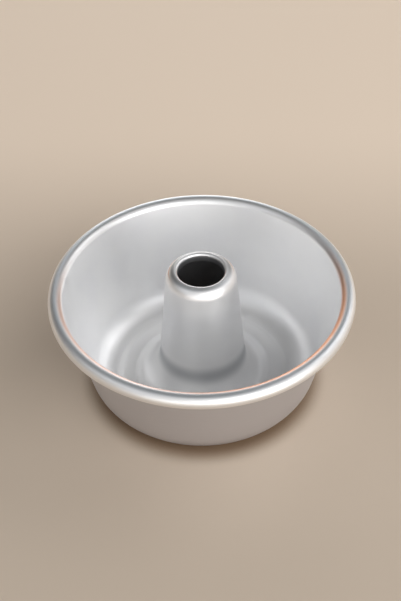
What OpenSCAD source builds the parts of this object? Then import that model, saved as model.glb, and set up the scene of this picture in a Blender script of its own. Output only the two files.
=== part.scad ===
// Angel food cake pan in spun aluminium sheet, in millimetres.
// A deep tapered ring with a rolled rim carries a lift-out base on a narrow ledge.
// The base is a flat plate with a hole, and a tall centre tube is folded round the edge of that hole.
// The origin is the centre of the ring's underside, on the table, and +Z points up the tube.
// Each section below is drawn with x as the distance from the axis and y as the height.

/* [Ring] */
// Diameter across the outside of the rolled rim
rim_d = 282; // [260:1:320]
// Height of the ring, from the table to the top of the rim
ring_h = 110.6; // [90:0.2:130]
// Thickness of the ring's sheet
sheet = 1.3; // [0.8:0.1:1.8]
// Radius of the rolled rim, over the outside of the roll
bead_r = 7; // [4.5:0.1:9]
// Gap between the rolled edge and the wall it curls back to
curl_gap = 0.8; // [0.4:0.1:2]
// Diameter of the flat underside, where the round corner starts
floor_d = 167; // [158:1:184]
// Radius of the corner between floor and wall, on the outside
corner_r = 27; // [14:0.5:34]
// Width of the ledge that turns in under the base plate
ledge_w = 12; // [6:0.5:16]

/* [Base plate] */
// Thickness of the base plate
plate_t = 1.3; // [0.8:0.1:2.4]
// Clearance from the plate's edge to the start of the ring's corner
plate_gap = 0.6; // [0.4:0.1:2]
// Rounding of the plate's upper outer edge
plate_edge_r = 0.5; // [0.2:0.1:0.7]

/* [Centre tube] */
// Thickness of the tube's sheet
tube_sheet = 0.7; // [0.4:0.1:1]
// Height of the tube's crown above the rim, on which the pan stands upside down to cool
tube_rise = 20; // [10:0.2:40]
// Diameter of the mouth inside the collar
mouth_d = 43.2; // [30:0.2:54]
// Depth of the straight collar that turns down into the mouth
collar_h = 5.5; // [3:0.5:12]
// Radius of the lip between the collar and the top of the crown
lip_r = 2.4; // [1.5:0.1:4]
// Slope, in degrees, at which the lip's curve goes over into the shoulder's
crown_slope = 20; // [10:1:30]
// Radius of the shoulder between the crown and the tube's side
shoulder_r = 12; // [6:0.5:15]
// Diameter at which the flare of the foot meets the flange
flare_d = 126.8; // [118:0.2:130]
// Radius of the flare's lower part, on the flange
flare_low_r = 17; // [10:0.5:24]
// Radius of the flare's upper part, which turns up into the tube's side
flare_high_r = 38; // [26:0.5:44]
// Slope, in degrees, at which one part of the flare goes over into the other
flare_slope = 45; // [30:1:60]

/* [Seam between tube and plate] */
// Width of the flange outside the flare
flange_w = 2.6; // [2:0.2:5]
// Width of the fold that lies on the plate
fold_w = 6; // [3:0.5:8]
// Width of the crimped edge turned out under the plate
crimp_w = 4; // [2:0.5:6]
// Clearance between the fold and the edge of the plate's hole
seam_gap = 0.2; // [0.1:0.05:0.4]

/* [Hidden] */
$fn = 180;
// Greatest distance between an arc and the straight stretches that stand for it
arc_error = 0.02;

// Points on an arc about a centre, from one angle to another, with both ends
function arc(centre, radius, from, to) =
    let (steps = ceil(abs(to - from) / (2 * acos(1 - arc_error / radius))))
    [
        for (i = [0 : steps])
            let (angle = from + (to - from) * i / steps)
            centre + radius * [cos(angle), sin(angle)]
    ];

// The same points in the opposite order
function backwards(path) = [for (i = [len(path) - 1 : -1 : 0]) path[i]];

// The points without the first, for an arc that goes on from where another ends
function onwards(path) = [for (i = [1 : len(path) - 1]) path[i]];

// Angle of the straight face that runs between two circles and touches one on each side.
// The face goes from the circle at p to the circle at q, reach is the sum of their radii,
// and side is 1 where the face passes p on the right, or -1 on the left.
function run_angle(p, q, reach, side) =
    atan2(q[1] - p[1], q[0] - p[0]) + side * asin(reach / norm(q - p));

// Ring: centres of its corner and of its rolled rim, and the edge of its ledge
corner_c = [floor_d / 2, corner_r];
bead_c = [rim_d / 2 - bead_r, ring_h - bead_r];
bead_in_r = bead_r - sheet;
ledge_r = floor_d / 2 - ledge_w;

// Ring: the wall's angle, and the turn left open between the wall and the rolled edge
wall_a = run_angle(corner_c, bead_c, corner_r - sheet + bead_r, 1);
curl_open_a = acos((bead_in_r - curl_gap) / bead_r);

// Base plate, which lies on the ledge
plate_r = floor_d / 2 - plate_gap;
plate_z = sheet;
plate_top = plate_z + plate_t;
plate_edge_c = [plate_r - plate_edge_r, plate_top - plate_edge_r];

// Seam: a flange of doubled sheet on the plate, a neck in its hole and a crimped edge under it
flange_top = plate_top + 2 * tube_sheet;
flange_r = flare_d / 2 + flange_w;
hem_c = [flange_r - tube_sheet, plate_top + tube_sheet];
hole_r = flange_r - fold_w;
neck_r = hole_r - seam_gap;
neck_in_r = neck_r - tube_sheet;
crimp_r = hole_r + crimp_w;
crimp_z = plate_z - tube_sheet;

// Tube: centres of the flare's two parts, of the lip, and of the shoulder that goes on from it,
// the angle of the side and the end of the collar
tube_top = ring_h + tube_rise;
mouth_r = mouth_d / 2;
flare_low_c = [flare_d / 2, flange_top + flare_low_r];
flare_high_c = flare_low_c + (flare_high_r - flare_low_r) * [sin(flare_slope), cos(flare_slope)];
lip_c = [mouth_r + lip_r, tube_top - lip_r];
shoulder_c = lip_c - (shoulder_r - lip_r) * [sin(crown_slope), cos(crown_slope)];
side_a = run_angle(flare_high_c, shoulder_c, flare_high_r + shoulder_r, -1);
collar_z = lip_c[1] - collar_h;

// One face of the ring's sheet, from the ledge's edge round to the rolled edge.
// Depth is 0 for the face outside the pan, and the sheet's thickness for the face inside it.
function ring_face(depth) = concat(
    [[ledge_r, depth]],
    arc(corner_c, corner_r - depth, -90, wall_a - 90),
    arc(bead_c, bead_in_r + depth, wall_a + 90, wall_a + 90 + curl_open_a - 360)
);

// One face of the tube's sheet, from the flange up the side and over the crown to the collar.
// Depth is 0 for the face that touches the cake, and the sheet's thickness for the hidden face.
function tube_face(depth) = concat(
    arc(flare_low_c, flare_low_r + depth, 270, 270 - flare_slope),
    onwards(arc(flare_high_c, flare_high_r + depth, 270 - flare_slope, side_a + 90)),
    arc(shoulder_c, shoulder_r - depth, side_a - 90, 90 - crown_slope),
    onwards(arc(lip_c, lip_r - depth, 90 - crown_slope, 180)),
    [[mouth_r + depth, collar_z]]
);

// The tube's foot, from inside the plate's hole, out under the plate, back and over its top
function seam_face() = concat(
    [
        [neck_in_r, hem_c[1]],
        [neck_in_r, crimp_z],
        [crimp_r, crimp_z],
        [crimp_r, plate_z],
        [neck_r, plate_z],
        [neck_r, plate_top]
    ],
    arc(hem_c, tube_sheet, -90, 90)
);

module outer_ring() {
    color("#c3c6ca") rotate_extrude() polygon(concat(ring_face(0), backwards(ring_face(sheet))));
}

module base_plate() {
    corners = [[hole_r, plate_top], [hole_r, plate_z], [plate_r, plate_z]];
    color("#b4b7bb") rotate_extrude() polygon(concat(corners, arc(plate_edge_c, plate_edge_r, 0, 90)));
}

module centre_tube() {
    color("#bcbfc3") rotate_extrude()
        polygon(concat(seam_face(), tube_face(0), backwards(tube_face(tube_sheet))));
}

outer_ring();
base_plate();
centre_tube();
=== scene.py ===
"""Looks of an angel food cake pan in spun, satin anodised aluminium.

The pan is three turned sheets on one upright axis: an outer ring with a rolled rim,
a flat base plate that lies on the ring's ledge, and a tall centre tube that is folded
round the hole in the plate. Each sheet is drawn here as the section that the sheet has
on one side of the axis, spun all the way round, and eased along its cut edges.
Sections are in millimetres, as distance from the axis and height above the table.
"""

import logging
import math
from dataclasses import dataclass, field
from enum import Enum
from typing import Any, ClassVar

import bpy
from mathutils import Matrix, Vector


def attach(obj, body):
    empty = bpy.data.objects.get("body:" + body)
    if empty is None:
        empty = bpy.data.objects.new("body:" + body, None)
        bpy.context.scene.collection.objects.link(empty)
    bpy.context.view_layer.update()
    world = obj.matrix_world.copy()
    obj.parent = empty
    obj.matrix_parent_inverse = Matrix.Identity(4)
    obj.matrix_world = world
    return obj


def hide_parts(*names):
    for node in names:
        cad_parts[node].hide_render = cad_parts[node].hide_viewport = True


MM = 0.001
Point = tuple[float, float]
Socket = bpy.types.NodeSocket
Shaded = bpy.types.Material | bpy.types.World
# A colour mix node's inputs for the lower and the upper colour, and its output
MIX_UNDER, MIX_OVER, MIX_RESULT = 6, 7, 2

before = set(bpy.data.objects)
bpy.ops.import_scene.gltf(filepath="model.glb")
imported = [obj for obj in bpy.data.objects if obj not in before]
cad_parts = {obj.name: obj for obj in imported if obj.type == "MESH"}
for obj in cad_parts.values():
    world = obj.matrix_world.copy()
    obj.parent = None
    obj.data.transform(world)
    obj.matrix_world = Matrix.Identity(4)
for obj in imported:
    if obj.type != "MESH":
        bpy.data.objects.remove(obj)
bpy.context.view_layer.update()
log = logging.getLogger("cake_pan")


class Body(Enum):
    """The two bodies that come apart by hand."""

    PAN = "pan"
    INSERT = "insert"


class Node(Enum):
    """The solids that the turned pieces stand for."""

    RING = "outer_ring"
    PLATE = "base_plate"
    TUBE = "centre_tube"


# Shape helpers


def arc(centre: Point, radius: float, start: float, end: float, turn: float = 4.0) -> list[Point]:
    """Lists points along an arc of a section, both ends included.

    Args:
        centre: The arc's centre, in mm.
        radius: The arc's radius, in mm.
        start: The angle of the first point, in degrees from straight outwards.
        end: The angle of the last point, in degrees.
        turn: The greatest angle between neighbouring points, in degrees.

    Returns:
        The points in order, in mm.
    """
    steps = max(1, math.ceil(abs(end - start) / turn))
    angles = (math.radians(start + (end - start) * i / steps) for i in range(steps + 1))
    return [(centre[0] + radius * math.cos(a), centre[1] + radius * math.sin(a)) for a in angles]


def along(start: Point, angle: float, distance: float) -> Point:
    """Finds the point at a distance from another, at an angle in degrees from straight outwards."""
    turn = math.radians(angle)
    return start[0] + distance * math.cos(turn), start[1] + distance * math.sin(turn)


def run_angle(p: Point, q: Point, reach: float, side: int) -> float:
    """Finds the angle of the straight face that touches a circle at each end.

    Args:
        p: The centre of the first circle.
        q: The centre of the second circle.
        reach: The sum of the circles' radii.
        side: 1 where the face passes the first circle on its right, or -1 on its left.

    Returns:
        The face's angle in degrees from straight outwards.
    """
    dx, dz = q[0] - p[0], q[1] - p[1]
    return math.degrees(math.atan2(dz, dx) + side * math.asin(reach / math.hypot(dx, dz)))


@dataclass
class TurnedSheet:
    """A sheet of metal turned about the upright axis, from its closed section.

    The section starts where a primitive is added, grows by extruding its end from
    point to point, and is then spun into the finished form.
    """

    name: str
    body: Body
    node: Node
    slot: str
    spin_steps: int = 240
    edge_round: float = 0.22
    edge_segments: int = 3
    edge_angle: float = 50.0

    def section(self) -> list[Point]:
        """Lists the corners and curves of the closed section, in mm."""
        raise NotImplementedError

    def draw_section(self) -> None:
        """Draws the section as a closed chain of edges, in edit mode, from one added primitive."""
        points = [Vector((r * MM, 0.0, z * MM)) for r, z in self.section()]
        bpy.ops.mesh.primitive_plane_add(size=MM, location=points[0])
        bpy.ops.object.transform_apply(location=True)
        bpy.ops.object.mode_set(mode="EDIT")
        bpy.ops.mesh.merge(type="CENTER")
        for here, there in zip(points, points[1:] + points[:1]):
            bpy.ops.mesh.extrude_region_move(TRANSFORM_OT_translate={"value": there - here})
        bpy.ops.mesh.select_all(action="SELECT")
        bpy.ops.mesh.remove_doubles(threshold=0.001 * MM)

    def spin(self) -> None:
        """Spins the drawn section all the way round, joins the seam and turns the faces outwards."""
        bpy.ops.mesh.select_all(action="SELECT")
        bpy.ops.mesh.spin(steps=self.spin_steps, angle=math.tau, center=(0, 0, 0), axis=(0, 0, 1))
        bpy.ops.mesh.select_all(action="SELECT")
        bpy.ops.mesh.remove_doubles(threshold=0.001 * MM)
        bpy.ops.mesh.normals_make_consistent(inside=False)
        bpy.ops.object.mode_set(mode="OBJECT")

    def ease_edges(self, piece: bpy.types.Object) -> None:
        """Rounds the cut edges of the sheet a little, as deburring leaves them.

        Args:
            piece: The turned sheet.
        """
        bevel = piece.modifiers.new("eased edges", "BEVEL")
        bevel.width = self.edge_round * MM
        bevel.segments = self.edge_segments
        bevel.limit_method = "ANGLE"
        bevel.angle_limit = math.radians(self.edge_angle)
        bevel.harden_normals = False
        bpy.ops.object.modifier_apply(modifier=bevel.name)
        bpy.ops.object.shade_smooth_by_angle(angle=math.radians(self.edge_angle))

    def build(self) -> bpy.types.Object:
        """Makes the piece, ties it to its body and hides the solid that it stands for.

        Returns:
            The finished piece, at the origin.
        """
        bpy.ops.object.select_all(action="DESELECT")
        self.draw_section()
        self.spin()
        piece = bpy.context.active_object
        piece.name = piece.data.name = self.name
        self.ease_edges(piece)
        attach(piece, self.body.value)
        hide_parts(self.node.value)
        log.info("%s: %d faces on %s", piece.name, len(piece.data.polygons), self.body.value)
        return piece


# The pan's pieces


@dataclass
class OuterRing(TurnedSheet):
    """The spun ring: a narrow ledge, a large round corner, a sloping wall and a rolled rim."""

    name: str = "spun_ring"
    body: Body = Body.PAN
    node: Node = Node.RING
    slot: str = "ring_aluminium"
    # The spun rim is a shade smaller than the solid's, so that it stays inside the solid's box
    rim_d: float = 281.9
    height: float = 110.6
    sheet: float = 1.3
    bead_r: float = 7.0
    curl_gap: float = 0.8
    floor_d: float = 167.0
    corner_r: float = 27.0
    ledge_w: float = 12.0

    def face(self, depth: float) -> list[Point]:
        """Lists one face of the sheet, from the ledge's edge up to the rolled edge.

        Args:
            depth: 0 for the face outside the pan, or the sheet's thickness for the inside.

        Returns:
            The points of that face, in mm.
        """
        corner = (self.floor_d / 2, self.corner_r)
        bead = (self.rim_d / 2 - self.bead_r, self.height - self.bead_r)
        inner = self.bead_r - self.sheet
        wall = run_angle(corner, bead, self.corner_r - self.sheet + self.bead_r, 1)
        left_open = math.degrees(math.acos((inner - self.curl_gap) / self.bead_r))
        ledge_end = (self.floor_d / 2 - self.ledge_w, depth)
        low = arc(corner, self.corner_r - depth, -90, wall - 90, turn=3.0)
        curl = arc(bead, inner + depth, wall + 90, wall + 90 + left_open - 360)
        return [ledge_end, *low, *curl]

    def section(self) -> list[Point]:
        """Lists the ring's closed section, out along one face and back along the other."""
        return self.face(0.0) + self.face(self.sheet)[::-1]


@dataclass
class BasePlate(TurnedSheet):
    """The flat lift-out plate with a hole, which lies on the ring's ledge."""

    name: str = "base_plate_turned"
    body: Body = Body.INSERT
    node: Node = Node.PLATE
    slot: str = "plate_aluminium"
    outer_r: float = 83.2
    hole_r: float = 60.0
    bottom: float = 1.3
    thickness: float = 1.3
    # The outer edge is pressed down to a thin lip in one soft curve, of this width
    edge_width: float = 5.5
    lip_share: float = 0.1
    curve_start: int = 20
    curve_step: int = 5

    def edge(self) -> list[Point]:
        """Lists the pressed edge, from the underside out round the lip and up to the top face.

        Returns:
            The points in order, in mm.
        """
        lip = (self.outer_r, self.bottom + self.lip_share * self.thickness)
        turns = range(self.curve_start, 91, self.curve_step)
        rises = [math.sin(math.radians(turn)) ** 2 for turn in turns]
        slope = [
            (self.outer_r - self.edge_width * up, self.bottom + self.thickness * up) for up in rises
        ]
        return [(self.outer_r, self.bottom), lip, *slope]

    def section(self) -> list[Point]:
        """Lists the plate's section, from the hole out along the underside and back over the top."""
        return [(self.hole_r, self.bottom), *self.edge(), (self.hole_r, self.bottom + self.thickness)]


@dataclass
class CentreTube(TurnedSheet):
    """The drawn tube: a crimped neck, a flange, a two-part flare, a tapered side and a round crown."""

    name: str = "drawn_tube"
    body: Body = Body.INSERT
    node: Node = Node.TUBE
    slot: str = "tube_aluminium"
    # The crown is drawn a shade lower than the solid's, so that it stays inside the solid's box
    top: float = 130.58
    sheet: float = 0.7
    mouth_d: float = 43.2
    collar_h: float = 5.5
    lip_r: float = 2.4
    crown_slope: float = 20.0
    shoulder_r: float = 12.0
    flare_d: float = 126.8
    flare_low_r: float = 17.0
    flare_high_r: float = 38.0
    flare_slope: float = 45.0
    plate_bottom: float = 1.3
    plate_top: float = 2.6
    flange_r: float = 66.0
    neck_r: float = 59.8
    crimp_r: float = 64.0
    # The flange is pressed thinner toward its edge, over this width and by this depth
    press_w: float = 6.0
    press_depth: float = 0.9
    flat_steps: int = 13
    edge_round: float = 0.3

    def face(self, depth: float) -> list[Point]:
        """Lists one face of the sheet, from the flange up the side and over the crown.

        Args:
            depth: 0 for the face that touches the cake, or the sheet's thickness for the one that no
                cake touches.

        Returns:
            The points of that face, in mm.
        """
        flare_low = (self.flare_d / 2, self.plate_top + 2 * self.sheet + self.flare_low_r)
        flare_high = along(flare_low, 90 - self.flare_slope, self.flare_high_r - self.flare_low_r)
        lip = (self.mouth_d / 2 + self.lip_r, self.top - self.lip_r)
        shoulder = along(lip, 90 - self.crown_slope, self.lip_r - self.shoulder_r)
        side = run_angle(flare_high, shoulder, self.flare_high_r + self.shoulder_r, -1)
        low_end, high_end = 270 - self.flare_slope, 90 - self.crown_slope
        return [
            *arc(flare_low, self.flare_low_r + depth, 270, low_end, turn=3.0),
            *arc(flare_high, self.flare_high_r + depth, low_end, side + 90, turn=1.5)[1:],
            *arc(shoulder, self.shoulder_r - depth, side - 90, high_end, turn=3.0),
            *arc(lip, self.lip_r - depth, high_end, 180, turn=5.0)[1:],
            (self.mouth_d / 2 + depth, lip[1] - self.collar_h),
        ]

    def seam(self) -> list[Point]:
        """Lists the foot, from inside the plate's hole, out under the plate, back and over it.

        Returns:
            The points in order, in mm.
        """
        neck_in_r = self.neck_r - self.sheet
        fold_top = self.plate_top + self.sheet
        flat_top = self.plate_top + 2 * self.sheet
        crimp_z = self.plate_bottom - self.sheet
        step = (self.flange_r - self.flare_d / 2) / self.flat_steps
        return [
            (neck_in_r, fold_top),
            (neck_in_r, crimp_z),
            (self.crimp_r, crimp_z),
            (self.crimp_r, self.plate_bottom),
            (self.neck_r, self.plate_bottom),
            (self.neck_r, self.plate_top),
            (self.flange_r, self.plate_top),
            *((self.flange_r - step * i, flat_top) for i in range(self.flat_steps)),
        ]

    def pressed(self, point: Point) -> Point:
        """Lowers a point of the foot's top face, more toward the flange's edge.

        Args:
            point: A point of the section, in mm.

        Returns:
            The point where the pressing leaves it, in mm.
        """
        radius, height = point
        share = min(1.0, max(0.0, 1 - (self.flange_r - radius) / self.press_w))
        if height > self.plate_top + self.sheet:
            height -= self.press_depth * share**2 * (3 - 2 * share)
        return radius, height

    def section(self) -> list[Point]:
        """Lists the tube's closed section, from the seam over the crown and back inside."""
        outside = [self.pressed(point) for point in self.seam() + self.face(0.0)]
        return outside + self.face(self.sheet)[::-1]


# Finishes


def linear(code: str) -> tuple[float, float, float, float]:
    """Turns an sRGB hex colour into the linear colour that a node takes.

    Args:
        code: Six hex digits with a leading hash.

    Returns:
        Red, green, blue and 1 for alpha.
    """
    parts = [int(code[i : i + 2], 16) / 255 for i in (1, 3, 5)]
    red, green, blue = (c / 12.92 if c <= 0.04045 else ((c + 0.055) / 1.055) ** 2.4 for c in parts)
    return red, green, blue, 1.0


def add_node(
    material: Shaded,
    kind: str,
    settings: dict[str, Any] | None = None,
    values: dict[str | int, Any] | None = None,
    links: dict[str | int, Socket] | None = None,
) -> bpy.types.Node:
    """Adds one shader node with its settings, its socket values and its incoming links.

    Args:
        material: The material or world whose tree takes the node.
        kind: The node's type name.
        settings: Properties of the node itself.
        values: Constant values by the input socket's name or number.
        links: Output sockets of other nodes by the input socket's name or number.

    Returns:
        The new node.
    """
    tree = material.node_tree
    node = tree.nodes.new(kind)
    for name, value in (settings or {}).items():
        setattr(node, name, value)
    for name, value in (values or {}).items():
        node.inputs[name].default_value = value
    for name, source in (links or {}).items():
        tree.links.new(source, node.inputs[name])
    return node


def new_material(name: str) -> bpy.types.Material:
    """Makes an empty node material.

    Args:
        name: The real finish that the material stands for.

    Returns:
        The material, with no nodes.
    """
    material = bpy.data.materials.new(name)
    material.use_nodes = True
    material.node_tree.nodes.clear()
    return material


def speckle(material: bpy.types.Material, place: Socket, size: float) -> Socket:
    """Adds an uneven pattern from 0 to 1.

    Args:
        material: The material that takes the pattern.
        place: Where on the surface, in metres.
        size: The usual distance from one spot to the next, in mm.

    Returns:
        The pattern's socket.
    """
    noise = add_node(
        material,
        "ShaderNodeTexNoise",
        values={"Scale": 1.0 / (size * MM), "Detail": 2.0, "Roughness": 0.5},
        links={"Vector": place},
    )
    return noise.outputs["Fac"]


def fade(
    material: Shaded, source: Socket, low: float, high: float, start: float, end: float
) -> Socket:
    """Turns one range of values smoothly into another.

    Args:
        material: The material or world that takes the node.
        source: The value to turn.
        low: The source's value where the result is at its start.
        high: The source's value where the result is at its end.
        start: The result at and below low.
        end: The result at and above high.

    Returns:
        The result's socket.
    """
    ranged = add_node(
        material,
        "ShaderNodeMapRange",
        {"interpolation_type": "SMOOTHSTEP"},
        {"From Min": low, "From Max": high, "To Min": start, "To Max": end},
        {"Value": source},
    )
    return ranged.outputs["Result"]


def blend(
    material: bpy.types.Material, cover: Socket, under: Socket | str, over: str
) -> Socket:
    """Lays one colour over another.

    Args:
        material: The material that takes the node.
        cover: How much of the upper colour shows, from 0 to 1.
        under: The lower colour, as a socket or an sRGB hex value.
        over: The upper colour, as an sRGB hex value.

    Returns:
        The mixed colour's socket.
    """
    values: dict[str | int, Any] = {MIX_OVER: linear(over)}
    links: dict[str | int, Socket] = {0: cover}
    if isinstance(under, str):
        values[MIX_UNDER] = linear(under)
    else:
        links[MIX_UNDER] = under
    return add_node(material, "ShaderNodeMix", {"data_type": "RGBA"}, values, links).outputs[MIX_RESULT]


def vector_sum(
    material: bpy.types.Material,
    operation: str,
    first: Socket,
    second: Socket | tuple[float, float, float] | None = None,
) -> Any:
    """Works on one or two vectors.

    Args:
        material: The material that takes the node.
        operation: The vector math node's operation.
        first: The first vector.
        second: The second vector, as a socket or as three values, where the operation takes two.

    Returns:
        The node's outputs, Vector and Value.
    """
    values: dict[str | int, Any] = {}
    links: dict[str | int, Socket] = {0: first}
    if isinstance(second, tuple):
        values[1] = second
    elif second is not None:
        links[1] = second
    return add_node(material, "ShaderNodeVectorMath", {"operation": operation}, values, links).outputs


def combine(material: Shaded, operation: str, first: Socket, second: Socket) -> Socket:
    """Works out one value from two.

    Args:
        material: The material or world that takes the node.
        operation: The math node's operation.
        first: The first value.
        second: The second value.

    Returns:
        The result's socket.
    """
    links: dict[str | int, Socket] = {0: first, 1: second}
    return add_node(material, "ShaderNodeMath", {"operation": operation}, links=links).outputs[0]


def seen_directly(material: Shaded) -> Socket:
    """Finds the rays that show a surface or mirror it, and not those by which it lights others.

    Args:
        material: The material or world that takes the nodes.

    Returns:
        The socket with 1 for such a ray, or 0.
    """
    ray = add_node(material, "ShaderNodeLightPath").outputs
    mirrored = combine(material, "MAXIMUM", ray["Is Glossy Ray"], ray["Is Transmission Ray"])
    return combine(material, "MAXIMUM", ray["Is Camera Ray"], mirrored)


@dataclass(frozen=True)
class PaintedLightLine:
    """A soft line of painted light round the axis, where the sheet turns over a tight curve: painted
    shade on some lines, a painted reflection on others.

    The line lies about a point of the section, in mm. It shows most toward one azimuth, in
    degrees from the camera's side, and fades as the cosine of the turn from there drops from
    full_at to gone_at. With the values given here it runs evenly all the way round.
    """

    radius: float
    height: float
    reach: float
    colour: str
    azimuth: float = 0.0
    gone_at: float = -2.0
    full_at: float = -1.5

    def cover(self, material: bpy.types.Material, section: Socket, away: Socket) -> Socket:
        """Finds how strongly the line covers each point.

        Args:
            material: The finish that takes the line.
            section: Distance from the axis and height, in metres.
            away: The level direction away from the axis.

        Returns:
            The socket with the cover, from 0 to 1.
        """
        turn = math.radians(self.azimuth)
        centre = (self.radius * MM, 0.0, self.height * MM)
        toward = (math.sin(turn), -math.cos(turn), 0.0)
        off = vector_sum(material, "DISTANCE", section, centre)["Value"]
        side = vector_sum(material, "DOT_PRODUCT", away, toward)["Value"]
        near = fade(material, off, 0.0, self.reach * MM, 1.0, 0.0)
        share = fade(material, side, self.gone_at, self.full_at, 0.0, 1.0)
        return combine(material, "MULTIPLY", near, share)


@dataclass(frozen=True)
class SatinAluminium:
    """Spun aluminium sheet, etched and clear anodised.

    The etch leaves a fine even satin that blurs reflections to soft bands, and the
    spinning leaves faint rings about the axis, which show as slightly brighter and
    darker bands in the blurred light. Pitches, heights and sizes are in mm.
    """

    name: str
    colour: str = "#fdfdfd"
    clouded: str = "#f9f9fa"
    cloud_size: float = 45.0
    cloud_range: tuple[float, float] = (0.35, 0.65)
    # Painted shade on the side that no cake touches: its colour, whether it faces out (1) or in (-1),
    # and its top end
    painted_shade: str = "#d3d3d8"
    painted_shade_side: float = 1.0
    painted_shade_turn: float = 0.3
    painted_shade_top: float = 101.0
    painted_shade_blend: float = 3.0
    roughness: float = 0.48
    roughness_spread: float = 0.03
    ring_pitch: float = 7.0
    ring_height: float = 0.03
    line_pitch: float = 0.9
    line_height: float = 0.004
    line_range: tuple[float, float] = (0.3, 0.7)
    painted_lines: tuple[PaintedLightLine, ...] = ()

    def make(self) -> bpy.types.Material:
        """Builds the finish as nodes.

        Returns:
            The material.
        """
        material = new_material(self.name)
        place = add_node(material, "ShaderNodeTexCoord").outputs
        axes = add_node(material, "ShaderNodeSeparateXYZ", links={"Vector": place["Object"]}).outputs
        flat = {"X": axes["X"], "Y": axes["Y"]}
        level = add_node(material, "ShaderNodeCombineXYZ", links=flat).outputs[0]
        radius = vector_sum(material, "LENGTH", level)["Value"]
        away = vector_sum(material, "NORMALIZE", level)["Vector"]
        turned = {"X": radius, "Z": axes["Z"]}
        section = add_node(material, "ShaderNodeCombineXYZ", links=turned).outputs[0]
        lines = speckle(material, section, self.line_pitch)
        colour = self.shade(material, place, section, away, axes["Z"])
        relief = self.relief(material, speckle(material, section, self.ring_pitch), lines)

        # The fine lines are by turns a little duller and a little glossier, which breaks up the satin
        low, high = self.roughness - self.roughness_spread, self.roughness + self.roughness_spread
        satin = fade(material, lines, *self.line_range, low, high)
        shader = add_node(
            material,
            "ShaderNodeBsdfPrincipled",
            values={"Metallic": 1.0},
            links={"Base Color": colour, "Roughness": satin, "Normal": relief},
        )
        add_node(material, "ShaderNodeOutputMaterial", links={"Surface": shader.outputs["BSDF"]})
        return material

    def shade(
        self, material: bpy.types.Material, place: Any, section: Socket, away: Socket, height: Socket
    ) -> Socket:
        """Mixes the colour of the metal, with its painted shade and painted reflections.

        Args:
            material: The finish.
            place: The texture coordinate node's outputs.
            section: Distance from the axis and height, in metres.
            away: The level direction away from the axis.
            height: The height, in metres.

        Returns:
            The colour's socket.
        """
        # Large soft clouds, so faint that they only keep the sheet from looking printed
        clouds = speckle(material, place["Object"], self.cloud_size)
        cloudy = fade(material, clouds, *self.cloud_range, 0.0, 1.0)
        shade = blend(material, cloudy, self.colour, self.clouded)

        # Painted shade: the side that no cake touches is a tone darker, up to its top end
        facing = vector_sum(material, "DOT_PRODUCT", away, place["Normal"])["Value"]
        turned = fade(material, facing, 0.0, self.painted_shade_turn * self.painted_shade_side, 0.0, 1.0)
        top = self.painted_shade_top * MM
        below = fade(material, height, top - self.painted_shade_blend * MM, top, 1.0, 0.0)
        shade = blend(material, combine(material, "MULTIPLY", turned, below), shade, self.painted_shade)

        # Painted lines of shade and reflection, where the sheet turns over
        for painted_line in self.painted_lines:
            shade = blend(material, painted_line.cover(material, section, away), shade, painted_line.colour)
        return shade

    def relief(self, material: bpy.types.Material, rings: Socket, lines: Socket) -> Socket:
        """Raises the broad rings that the spinning tool leaves, then the fine lines between them.

        Args:
            material: The finish.
            rings: The broad rings, from 0 to 1.
            lines: The fine lines, from 0 to 1.

        Returns:
            The socket with the surface's direction.
        """
        distance = {"Distance": self.ring_height * MM}
        broad = add_node(material, "ShaderNodeBump", values=distance, links={"Height": rings})
        distance = {"Distance": self.line_height * MM}
        links: dict[str | int, Socket] = {"Height": lines, "Normal": broad.outputs["Normal"]}
        return add_node(material, "ShaderNodeBump", values=distance, links=links).outputs["Normal"]


@dataclass(frozen=True)
class PaleFloor:
    """Plain matt floor in a pale warm beige, whose colour the metal picks up.

    As it shows and as the metal mirrors it, the floor glows a little toward the back, and far
    off all round, without lighting the pan. It darkens where the pan stands close over it.
    Distances are in metres.
    """

    name: str = "pale_matt_floor"
    colour: str = "#d4c3b0"
    roughness: float = 0.85
    glow: str = "#8b7f73"
    back_start: float = 0.02
    back_end: float = 0.42
    far_start: float = 1.1
    far_end: float = 2.2
    far_strength: float = 2.4
    # Near the lamps the floor's own colour is dark, so that their light leaves no bright patches
    far_colour: str = "#2c2925"
    far_range: tuple[float, float] = (1.2, 1.9)
    contact: str = "#846c54"
    contact_reach: float = 0.024
    contact_samples: int = 16
    # How open the floor lies where the darker tone is full, and where it is gone
    contact_range: tuple[float, float] = (0.3, 0.88)

    def make(self) -> bpy.types.Material:
        """Builds the finish as nodes.

        Returns:
            The material.
        """
        material = new_material(self.name)
        place = add_node(material, "ShaderNodeTexCoord").outputs["Object"]
        depth = add_node(material, "ShaderNodeSeparateXYZ", links={"Vector": place}).outputs["Y"]
        reach = vector_sum(material, "LENGTH", place)["Value"]
        back = fade(material, depth, self.back_start, self.back_end, 0.0, 1.0)
        far = fade(material, reach, self.far_start, self.far_end, 0.0, self.far_strength)
        pale = combine(material, "ADD", back, far)
        glow = combine(material, "MULTIPLY", seen_directly(material), pale)

        # The floor is a darker brown close under the pan's round corner, as little light gets in there
        samples, near = {"samples": self.contact_samples}, {"Distance": self.contact_reach}
        openness = add_node(material, "ShaderNodeAmbientOcclusion", samples, near).outputs["AO"]
        shaded = fade(material, openness, *self.contact_range, 1.0, 0.0)
        colour = blend(material, shaded, self.colour, self.contact)
        beyond = fade(material, reach, *self.far_range, 0.0, 1.0)
        colour = blend(material, beyond, colour, self.far_colour)
        shader = add_node(
            material,
            "ShaderNodeBsdfPrincipled",
            values={"Roughness": self.roughness, "Emission Color": linear(self.glow)},
            links={"Base Color": colour, "Emission Strength": glow},
        )
        add_node(material, "ShaderNodeOutputMaterial", links={"Surface": shader.outputs["BSDF"]})
        return material


# Studio


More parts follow.
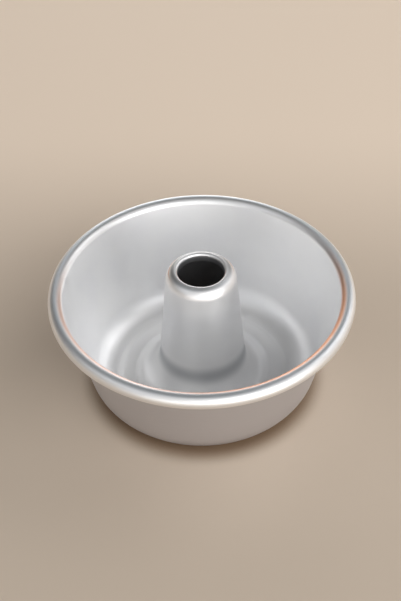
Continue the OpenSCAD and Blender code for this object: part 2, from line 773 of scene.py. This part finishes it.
@dataclass(frozen=True)
class SoftLight:
    """A rectangular soft light, aimed at a point on the object."""

    name: str
    azimuth: float
    elevation: float
    power: float
    distance: float = 2.5
    width: float = 1.05
    height: float = 1.05
    colour: str = "#ffffff"
    aim: tuple[float, float, float] = (0.0, 0.0, 0.05)

    def make(self) -> bpy.types.Object:
        """Adds the light.

        Returns:
            The light's object.
        """
        a, e = math.radians(self.azimuth), math.radians(self.elevation)
        away = Vector((math.sin(a) * math.cos(e), -math.cos(a) * math.cos(e), math.sin(e)))
        target = Vector(self.aim)
        turn = away.to_track_quat("Z", "Y").to_euler()
        bpy.ops.object.light_add(type="AREA", location=target + away * self.distance, rotation=turn)
        light = bpy.context.active_object
        light.name = light.data.name = self.name
        light.data.shape = "RECTANGLE"
        light.data.size, light.data.size_y = self.width, self.height
        light.data.energy = self.power
        light.data.color = linear(self.colour)[:3]
        log.info("light %s: %.0f W", self.name, self.power)
        return light


@dataclass
class Studio:
    """The floor, the soft lights and the camera at the photograph's viewing angle."""

    frame_px: ClassVar[tuple[int, int]] = (401, 601)
    focal_px: float = 1100.0
    sensor_mm: float = 36.0
    distance: float = 1.08408
    elevation: float = 46.606
    pitch: float = 43.020
    yaw: float = -0.080
    roll: float = -1.256
    floor_size: float = 60.0
    floor: PaleFloor = field(default_factory=PaleFloor)
    sky: str = "#fff4e8"
    sky_strength: float = 0.02
    # Where the pale haze starts to thin above the horizon and where it ends, with 1 straight up
    haze_range: tuple[float, float] = (0.04, 0.28)
    haze_strength: float = 0.7
    lights: tuple[SoftLight, ...] = (
        SoftLight("low_front", azimuth=345.0, elevation=14.0, width=2.1, power=10.5),
        SoftLight("low_front_right", azimuth=37.0, elevation=14.0, width=2.0, power=23.0),
        SoftLight("low_right", azimuth=110.0, elevation=14.0, width=1.9, power=3.5),
        SoftLight("low_back", azimuth=183.0, elevation=14.0, width=1.4, power=12.0),
        SoftLight("high_front_right", azimuth=34.0, elevation=40.0, width=3.0, power=23.0),
        SoftLight("high_right", azimuth=115.0, elevation=40.0, width=1.6, power=10.0),
        SoftLight("high_left", azimuth=300.0, elevation=40.0, width=2.6, power=7.5, colour="#f4f7fc"),
        SoftLight("high_back", azimuth=190.0, elevation=40.0, width=2.0, power=2.0),
        SoftLight("top_front", azimuth=345.0, elevation=65.0, width=2.0, power=3.5),
        SoftLight("top_left", azimuth=270.0, elevation=65.0, width=1.6, power=2.5),
        SoftLight("top_right", azimuth=90.0, elevation=65.0, width=1.6, power=2.5),
    )

    def add_camera(self) -> bpy.types.Object:
        """Adds the camera where the photograph's rim, base and tube outlines put it.

        Returns:
            The camera's object.
        """
        e = math.radians(self.elevation)
        place = Vector((0.0, -math.cos(e), math.sin(e))) * self.distance
        turn = (
            Matrix.Rotation(-math.radians(self.yaw), 3, "Z")
            @ Matrix.Rotation(math.radians(90 - self.pitch), 3, "X")
            @ Matrix.Rotation(math.radians(self.roll), 3, "Z")
        )
        bpy.ops.object.camera_add(location=place, rotation=turn.to_euler())
        camera = bpy.context.active_object
        camera.name = camera.data.name = "photo_camera"
        camera.data.sensor_width = self.sensor_mm
        camera.data.lens = self.sensor_mm * self.focal_px / max(self.frame_px)
        camera.data.clip_start, camera.data.clip_end = 0.05, 50.0
        bpy.context.scene.camera = camera
        return camera

    def add_floor(self) -> bpy.types.Object:
        """Adds the plain floor that the pan stands on.

        Returns:
            The floor's object.
        """
        bpy.ops.mesh.primitive_plane_add(size=self.floor_size, location=(0, 0, 0))
        floor = bpy.context.active_object
        floor.name = floor.data.name = "floor"
        floor.data.materials.append(self.floor.make())
        return floor

    def add_sky(self) -> bpy.types.World:
        """Adds the even light of the room, and the pale wall of haze that shows beyond the floor.

        Returns:
            The world.
        """
        world = bpy.data.worlds.new("soft_room")
        world.use_nodes = True
        world.node_tree.nodes.clear()
        way = add_node(world, "ShaderNodeTexCoord").outputs["Generated"]
        rise = add_node(world, "ShaderNodeSeparateXYZ", links={"Vector": way}).outputs["Z"]
        haze = fade(world, rise, *self.haze_range, self.haze_strength, 0.0)
        shown = combine(world, "MULTIPLY", seen_directly(world), haze)
        strength = add_node(
            world, "ShaderNodeMath", {"operation": "ADD"}, {1: self.sky_strength}, {0: shown}
        )
        sky = add_node(
            world,
            "ShaderNodeBackground",
            values={"Color": linear(self.sky)},
            links={"Strength": strength.outputs[0]},
        )
        add_node(world, "ShaderNodeOutputWorld", links={"Surface": sky.outputs["Background"]})
        bpy.context.scene.world = world
        return world

    def build(self) -> None:
        """Sets up the whole studio."""
        bpy.ops.object.select_all(action="DESELECT")
        self.add_camera()
        self.add_floor()
        self.add_sky()
        for light in self.lights:
            light.make()
        bpy.context.scene.view_settings.view_transform = "Standard"


# The whole object


@dataclass
class CakePan:
    """The pan: three turned sheets and their finishes."""

    pieces: tuple[TurnedSheet, ...] = field(
        default_factory=lambda: (OuterRing(), BasePlate(), CentreTube())
    )
    finishes: tuple[SatinAluminium, ...] = (
        SatinAluminium(
            "satin_anodised_ring",
            painted_lines=(
                # Painted shade: the top of the roll is painted a darker, cooler grey
                PaintedLightLine(134.6, 110.6, 4.4, "#e4e9ee"),
                # Painted reflection: the roll's inner side is faintly pink toward the camera, and more
                # copper on the right, where it mirrors the warm floor
                PaintedLightLine(130.0, 109.4, 4.2, "#f0d2c6", azimuth=0.0, gone_at=-0.4, full_at=0.3),
                PaintedLightLine(129.8, 109.2, 4.4, "#e6ad8c", azimuth=50.0, gone_at=0.35, full_at=0.95),
            ),
        ),
        SatinAluminium("satin_anodised_plate", painted_shade="#fdfdfd"),
        SatinAluminium(
            "satin_anodised_tube",
            # Painted shade inside the tube, a tone darker up to just under the crown
            painted_shade="#c6c7ca",
            painted_shade_side=-1.0,
            painted_shade_top=129.0,
            painted_lines=(
                # Painted shade: a dark ring round the foot, where the drawn side goes over into the
                # flare
                PaintedLightLine(42.8, 32.5, 13.0, "#cbcdcf"),
                # Painted shade: the flat of the crown is painted greyer than the shoulder round it
                PaintedLightLine(26.6, 130.3, 3.6, "#c2c4c7"),
                # Painted reflection: thin warm lines, on the crown's outer edge at the back and at the
                # mouth's near edge
                PaintedLightLine(29.4, 127.4, 1.2, "#e3bcae", azimuth=190.0, gone_at=-0.3, full_at=0.3),
                PaintedLightLine(22.3, 129.8, 0.9, "#e3bcae", azimuth=0.0, gone_at=-0.2, full_at=0.4),
            ),
        ),
    )

    def build(self) -> list[bpy.types.Object]:
        """Builds each sheet and dresses it in its finish.

        Returns:
            The finished pieces.
        """
        made = []
        for sheet, finish in zip(self.pieces, self.finishes):
            piece = sheet.build()
            piece.data.materials.clear()
            piece.data.materials.append(finish.make())
            made.append(piece)
        return made


def main() -> None:
    """Builds the studio and the pan."""
    logging.basicConfig(level=logging.INFO, format="%(name)s: %(message)s")
    Studio().build()
    CakePan().build()


if __name__ == "__main__":
    main()
